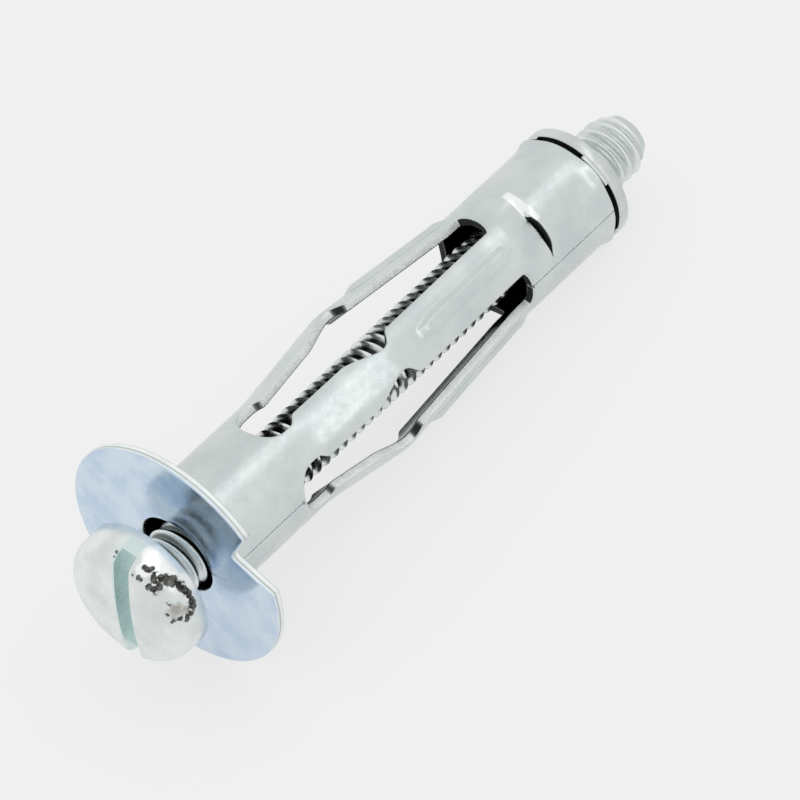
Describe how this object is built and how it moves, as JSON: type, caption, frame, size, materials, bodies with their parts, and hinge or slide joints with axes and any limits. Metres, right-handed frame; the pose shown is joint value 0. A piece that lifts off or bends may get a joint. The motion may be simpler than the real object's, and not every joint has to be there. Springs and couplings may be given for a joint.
{
  "type": "hollow wall anchor",
  "caption": "Slotted sheet steel sleeve with a flange, a threaded nut in its far end and a slotted pan head screw through both, for fixing to a hollow wall.",
  "frame": {"origin": "on the anchor's axis in the plane of the flange's back, which is the wall's face", "axes": "+X along the axis into the wall's cavity, away from the screw's head; the seam faces -Y; the four legs stand between Y and Z"},
  "size_m": [0.047, 0.0156, 0.0156],
  "materials": {
    "zinc_sheet": "bright zinc plated sheet",
    "zinc_nut": "bright zinc plated",
    "zinc_screw": "bright zinc plated"
  },
  "bodies": {
    "sleeve": {"sleeve": "zinc_sheet", "nut": "zinc_nut"},
    "screw": {"screw": "zinc_screw"}
  },
  "joints": [
    {"name": "screw_turn", "type": "hinge", "parent": "sleeve", "child": "screw", "pos_m": [0, 0, 0], "axis": [1, 0, 0], "continuous": true}
  ]
}
